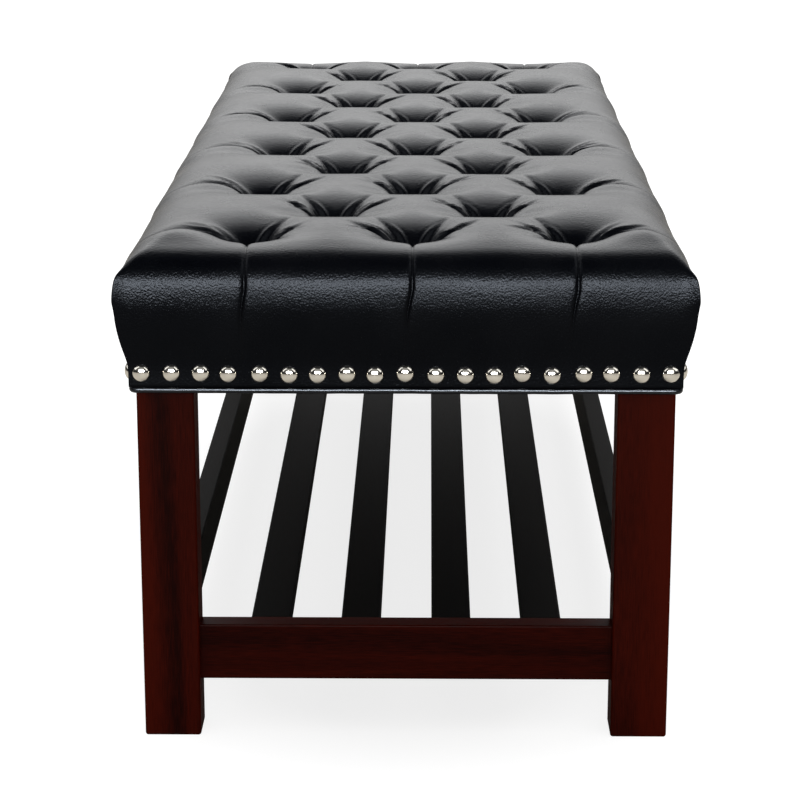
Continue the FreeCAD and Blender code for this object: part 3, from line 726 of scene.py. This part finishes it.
# Fine gathers, in millimetres and degrees. Fans of them leave the buttons below the folds and along the side pleats.
wrinkles = {
    "foldFan": {"count": 3, "apart": 13.0, "drift": (0.2, 0.9), "bend": (0.1, 0.35), "length": (26.0, 50.0)},
    "pleatFan": {"count": 4, "apart": 9.5, "drift": (0.3, 0.9), "bend": (0.05, 0.2), "length": (35.0, 70.0)},
    "start": 13.0, "depth": (1.2, 2.4), "width": (1.7, 2.6), "firstTurn": 5.0,
    # a standing crease, and a furrow from the lip of a pit: turn, its sway, bend, start, depth and width; length
    "crease": (74.0, 3.0, -0.3, 9.0, -1.5, 1.7), "creaseLength": 44.0,
    "lip": (6.0, 4.0, 0.42, 16.0, 3.4, 3.2), "lipLength": (44.0, 60.0),
    "ridge": 0.5, "ridgeOff": 1.9,  # beside each furrow, as shares of its depth and width
    "seed": 21,
}


def gatherWrinkles(mesh):
    w = wrinkles
    x, y, _ = readOut(mesh.attributes["flatLayout"].data, "vector").T
    rng = random.Random(w["seed"])
    push = np.zeros(len(x))

    def stroke(bx, by, side, angle, bend, start, length, depth, width):
        # a narrow curved furrow that leaves a button, with a small ridge on its upper side; mirrored on the left
        if side < 0:
            angle, bend = math.pi - angle, -bend
        dx, dy = x - bx, y - by
        radius = np.hypot(dx, dy)
        near = (radius > start * 0.6) & (radius < start + length * 1.2)
        r = radius[near]
        t = (r - start) / length
        aside = r * np.angle(np.exp(1j * (np.arctan2(dy[near], dx[near]) - (angle + bend * t)))) * side
        fade = np.clip(t / 0.2 + 0.6, 0, 1) * np.clip((1 - t) / 0.6, 0, 1)
        ridge = np.exp(-((aside - w["ridgeOff"] * width) / width) ** 2)
        push[near] += fade * depth * (w["ridge"] * ridge - np.exp(-(aside / width) ** 2))

    slope = math.atan2(cover["rowPitch"], pitch)
    for bx, by in tufts:
        for side in (-1, 1):
            pleated = abs(abs(bx) - pitch) < 1 and bx * side > 0
            if by < lastRow - 1 and abs(bx + side) < pitch:
                # a standing crease where the pad behind meets the fold
                turn, sway, bend, start, depth, width = w["crease"]
                turn = math.radians(turn + rng.uniform(-sway, sway))
                stroke(bx, by, side, turn, bend, start, w["creaseLength"], depth, width)
            if not pleated:
                # the lip of the pit runs on to either side as a rising furrow
                turn, sway, bend, start, depth, width = w["lip"]
                turn = math.radians(turn + rng.uniform(-sway, sway))
                stroke(bx, by, side, turn, bend, start, rng.uniform(*w["lipLength"]), depth, width)
                if by > lastRow - 1:
                    continue
            fan = w["pleatFan"] if pleated else w["foldFan"]
            for n in range(fan["count"]):
                turn = math.radians(w["firstTurn"] + fan["apart"] * (n + rng.uniform(*fan["drift"])))
                stroke(bx, by, side, turn if pleated else slope - turn, -rng.uniform(*fan["bend"]), w["start"],
                       rng.uniform(*fan["length"]), rng.uniform(*w["depth"]), rng.uniform(*w["width"]))
    moved = readOut(mesh.vertices, "co") + readOut(mesh.vertex_normals, "vector") * (push * mm)[:, None]
    mesh.vertices.foreach_set("co", moved.ravel())
    mesh.update()


def closeUnderside(piece):
    # the hem turns in against the frame and up to the deck, and a flat underside closes the cushion
    bm = bmesh.new()
    bm.from_mesh(piece.data)
    border = [e for e in bm.edges if e.is_boundary]
    halfX, halfY, top = [reach + 0.0001 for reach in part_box("seat_deck")[1]]
    for height in (cover["bottom"] * mm, top):
        made = bmesh.ops.extrude_edge_only(bm, edges=border)["geom"]
        verts = [g for g in made if isinstance(g, bmesh.types.BMVert)]
        border = [g for g in made if isinstance(g, bmesh.types.BMEdge)]
        for v in verts:
            v.co.x = min(max(v.co.x, -halfX), halfX)
            v.co.y = min(max(v.co.y, -halfY), halfY)
            v.co.z = height
    bmesh.ops.contextual_create(bm, geom=border)
    bmesh.ops.recalc_face_normals(bm, faces=bm.faces)
    bm.to_mesh(piece.data)
    bm.free()


makeCover()


# Small repeated parts: points carry the places and turns, Geometry Nodes puts a part on each

def repeater(name):
    # a node group that sets a part on every point, turned and a little uneven, as one mesh with one finish
    tree = bpy.data.node_groups.new(name, "GeometryNodeTree")
    face = tree.interface
    face.new_socket("Geometry", in_out="INPUT", socket_type="NodeSocketGeometry")
    for label, kind in (("Part", "Object"), ("Finish", "Material"), ("Tilt", "Float"), ("Size", "Float"),
                        ("Seed", "Int")):
        face.new_socket(label, in_out="INPUT", socket_type=f"NodeSocket{kind}")
    face.new_socket("Geometry", in_out="OUTPUT", socket_type="NodeSocketGeometry")
    given = addNode(tree, "NodeGroupInput").outputs
    part = addNode(tree, "GeometryNodeObjectInfo", {"Object": given["Part"], "As Instance": True},
                   transform_space="ORIGINAL")
    turn = addNode(tree, "GeometryNodeInputNamedAttribute", {"Name": "turn"}, data_type="FLOAT_VECTOR")
    low = addNode(tree, "Math", {0: given["Tilt"], 1: -1.0}, operation="MULTIPLY")
    tilt = addNode(tree, "FunctionNodeRandomValue",
                   {"Min": low, "Max": given["Tilt"], "Seed": given["Seed"]}, data_type="FLOAT_VECTOR")
    total = addNode(tree, "VectorMath", {0: turn.outputs["Attribute"], 1: tilt.outputs["Value"]}, operation="ADD")
    placed = addNode(tree, "GeometryNodeInstanceOnPoints",
                     {"Points": given["Geometry"], "Instance": part.outputs["Geometry"], "Rotation": total,
                      "Scale": given["Size"]})
    real = addNode(tree, "GeometryNodeRealizeInstances", {"Geometry": placed})
    shaded = addNode(tree, "GeometryNodeSetShadeSmooth", {"Geometry": real})
    painted = addNode(tree, "GeometryNodeSetMaterial", {"Geometry": shaded, "Material": given["Finish"]})
    addNode(tree, "NodeGroupOutput", {"Geometry": painted})
    return tree


repeatTree = repeater("setOnPoints")


def repeated(name, places, turns, part, material, tilt=0.0, size=1.0, seed=1):
    # places in millimetres, turns as Euler angles
    mesh = bpy.data.meshes.new(name)
    mesh.from_pydata((np.array(places) * mm).tolist(), [], [])
    turn = mesh.attributes.new("turn", "FLOAT_VECTOR", "POINT")
    turn.data.foreach_set("vector", [v for one in turns for v in one])
    piece = addObject(name, mesh)
    modifier = piece.modifiers.new("repeat", "NODES")
    modifier.node_group = repeatTree
    given = {"Part": part, "Finish": material, "Tilt": tilt, "Size": size, "Seed": seed}
    for item in repeatTree.interface.items_tree:
        if item.item_type == "SOCKET" and item.in_out == "INPUT" and item.name in given:
            modifier[item.identifier] = given[item.name]
    workIn(piece)
    dress(piece, material)
    return piece


def turned(name, profile, segments):
    # a solid of revolution about Z from (radius, height) pairs in millimetres; the first and last are on the axis
    points, faces = [(0, 0, profile[0][1])], []
    rings = profile[1:-1]
    for radius, height in rings:
        for n in range(segments):
            angle = 2 * math.pi * n / segments
            points.append((radius * math.cos(angle), radius * math.sin(angle), height))
    points.append((0, 0, profile[-1][1]))
    for n in range(segments):
        m = (n + 1) % segments
        faces.append((0, 1 + n, 1 + m))
        for ring in range(len(rings) - 1):
            base = 1 + ring * segments
            faces.append((base + n, base + segments + n, base + segments + m, base + m))
        base = 1 + (len(rings) - 1) * segments
        faces.append((base + n, len(points) - 1, base + m))
    return makeObject(name, points, faces)


# Domed nails: a polished cap with a rolled rim, on a steel shank
nails = {
    "radius": 7.8, "height": 4.7, "shankRadius": 1.0, "shankLength": 18.0, "segments": 24,
    "rowHeight": 336.0, "bandX": 238.6, "bandY": 624.4, "endCount": 19, "sideCount": 49,
    "endReach": 227.5, "sideReach": 609.6,
    "wanderAlong": 1.1, "wanderUp": 0.9, "tilt": 0.05, "size": 1.01, "seed": 5,
}


def makeNails():
    n = nails
    r, h = n["radius"], n["height"]
    dome = [(r * math.cos(a), h * math.sin(a)) for a in [math.radians(d) for d in (8, 22, 38, 54, 70, 82)]]
    profile = [(0, -n["shankLength"]), (0.35, -n["shankLength"] + 1.2), (n["shankRadius"], -n["shankLength"] + 4),
               (n["shankRadius"], 0.1), (r - 0.6, 0.05), (r, 0.1), *dome, (0, h)]
    part = turned("oneNail", profile, n["segments"])
    rng = random.Random(n["seed"])
    for face, side in (("front", -1), ("back", 1), ("left", -1), ("right", 1)):
        onEnd = face in ("front", "back")
        count, reach = (n["endCount"], n["endReach"]) if onEnd else (n["sideCount"], n["sideReach"])
        turn = (-side * math.pi / 2, 0, 0) if onEnd else (0, side * math.pi / 2, 0)
        places = []
        for k in range(count):
            along = -reach + 2 * reach * k / (count - 1) + rng.uniform(-1, 1) * n["wanderAlong"] * (0 < k < count - 1)
            spot = (along, side * n["bandY"]) if onEnd else (side * n["bandX"], along)
            places.append((*spot, n["rowHeight"] + rng.uniform(-1, 1) * n["wanderUp"]))
        row = repeated(f"domedNails{face.capitalize()}", places, [turn] * count, part, nickel, tilt=n["tilt"],
                       size=n["size"], seed=rng.randrange(100))
        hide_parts(f"nailheads_{face}")
        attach(row, "root")
    bpy.data.objects.remove(part)
    print("nails set")


makeNails()

# Buttons covered in the same hide, at the bottom of the pits
buttons = {"radius": 10.6, "drum": 3.0, "height": 6.1, "segments": 28, "tilt": 0.06, "seed": 11}


def makeButtons():
    b = buttons
    r, d, h = b["radius"], b["drum"], b["height"]
    cap = [(r * math.cos(a), d + (h - d) * math.sin(a)) for a in [math.radians(x) for x in (0, 20, 42, 64)]]
    part = turned("oneButton", [(0, -0.1), (r - 1.2, -0.1), (r, 0.7), *cap, (0, h)], b["segments"])
    flat = np.array(tufts)
    seats = wander(np.column_stack([flat, np.full(len(flat), cover["crest"] - pitFront[0][1])]), flat)
    row = repeated("coveredButtons", seats.tolist(), [(0, 0, 0)] * len(flat), part, trimLeather,
                   tilt=b["tilt"], seed=b["seed"])
    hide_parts("tuft_buttons")
    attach(row, "root")
    bpy.data.objects.remove(part)
    print("buttons set")


makeButtons()

# Welt: a leather-covered cord that runs round under the hem, a little uneven
welt = {
    "radius": 2.95, "halfX": 236.0, "halfY": 622.0, "bend": 5.0, "height": 321.1, "step": 4.0, "sides": 12,
    "sway": 0.45, "swell": 0.06, "seed": 3,
}


def makeWelt():
    w = welt
    hx, hy, bend = w["halfX"] - w["bend"], w["halfY"] - w["bend"], w["bend"]
    corners = [(hx, hy), (-hx, hy), (-hx, -hy), (hx, -hy)]
    bends = [[(cx + bend * math.cos(math.radians(turn)), cy + bend * math.sin(math.radians(turn)))
              for turn in range(90 * k, 90 * k + 91, 15)] for k, (cx, cy) in enumerate(corners)]
    line = []
    for k in range(4):
        last, goal = np.array(bends[k][-1]), np.array(bends[(k + 1) % 4][0])
        count = int(np.hypot(*(goal - last)) / w["step"])
        line += bends[k] + [tuple(last + (goal - last) * n / count) for n in range(1, count)]
    line = np.array(line)
    rng = random.Random(w["seed"])
    around = np.arctan2(line[:, 1] / w["halfY"], line[:, 0] / w["halfX"])
    wave = lambda: sum(rng.uniform(0.3, 1) / (1 + 0.03 * f) * np.sin(f * around + rng.uniform(0, 6.3))
                       for f in (9, 17, 31, 48, 73)) / 2.4
    lift, out, thick = wave() * w["sway"], wave() * w["sway"] * 0.7, 1 + wave() * w["swell"]
    ahead = np.roll(line, -1, 0) - np.roll(line, 1, 0)
    ahead /= np.linalg.norm(ahead, axis=1, keepdims=True)
    side = np.column_stack([ahead[:, 1], -ahead[:, 0]])
    points, faces = [], []
    sides, total = w["sides"], len(line)
    for k in range(total):
        onward = (k + 1) % total * sides
        for s in range(sides):
            angle = 2 * math.pi * s / sides
            r = w["radius"] * thick[k]
            points.append((*(line[k] + side[k] * (out[k] + r * math.cos(angle))),
                           w["height"] + lift[k] + r * math.sin(angle)))
            faces.append((k * sides + s, onward + s, onward + (s + 1) % sides, k * sides + (s + 1) % sides))
    piece = makeObject("weltCord", points, faces)
    piece.data.polygons.foreach_set("use_smooth", [True] * len(piece.data.polygons))
    scene.collection.objects.link(piece)
    dress(piece, trimLeather)
    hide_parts("bottom_welt")
    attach(piece, "root")
    print("welt laid")


makeWelt()

# Dust cloth: thin black spunbond, stapled at its edge under the rails, notched round the legs; it sags a little
cloth = {
    "halfX": 231.0, "halfY": 617.0, "notchX": 182.0, "notchY": 578.0, "top": 324.0, "thickness": 0.8,
    "sag": 4.5, "freeX": 196.0, "freeY": 586.0,  # the free stretch between the rails
    "pucker": 0.5, "puckerReach": 22.0, "step": 12.0, "seed": 17,
}


def makeDustCloth():
    c = cloth
    def lines(half, notch):
        inner = np.linspace(-notch, notch, int(2 * notch / c["step"]) + 1)
        outer = np.linspace(notch, half, 5)[1:]
        return np.concatenate([-outer[::-1], inner, outer])
    xs, ys = lines(c["halfX"], c["notchX"]), lines(c["halfY"], c["notchY"])
    x, y = np.meshgrid(xs, ys, indexing="ij")
    hang = np.clip(1 - (x / c["freeX"]) ** 2, 0, 1) ** 0.8 * np.clip(1 - (y / c["freeY"]) ** 2, 0, 1) ** 0.5
    rng = random.Random(c["seed"])
    edge = np.minimum(c["freeX"] - np.abs(x), c["freeY"] - np.abs(y))
    wave = sum(rng.uniform(0.4, 1.0) * np.sin(x / rng.uniform(9, 22) + y / rng.uniform(9, 22) + rng.uniform(0, 6.3))
               for _ in range(4)) / 2.5
    ripple = c["pucker"] * wave * np.exp(-np.abs(edge) / c["puckerReach"]) * (edge > 0) * np.clip(edge / 12, 0, 1)
    low = c["top"] - c["thickness"] - c["sag"] * hang - np.abs(ripple)
    points = np.concatenate([np.stack([x, y, z], -1).reshape(-1, 3) for z in (low, low + c["thickness"])])
    nx, ny = x.shape
    faces, sides = [], {}
    for i in range(nx - 1):
        for j in range(ny - 1):
            if abs(xs[i] + xs[i + 1]) / 2 > c["notchX"] and abs(ys[j] + ys[j + 1]) / 2 > c["notchY"]:
                continue
            a = [i * ny + j, (i + 1) * ny + j, (i + 1) * ny + j + 1, i * ny + j + 1]
            faces += [tuple(reversed(a)), tuple(n + nx * ny for n in a)]
            for n in range(4):
                pair = (a[n], a[(n + 1) % 4])
                if pair[::-1] in sides:
                    del sides[pair[::-1]]
                else:
                    sides[pair] = True
    faces += [(a, b, b + nx * ny, a + nx * ny) for a, b in sides]
    piece = makeObject("dustCloth", points, faces)
    scene.collection.objects.link(piece)
    dress(piece, spunbond)
    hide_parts("dust_cover")
    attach(piece, "root")
    print("dust cloth hung")


makeDustCloth()
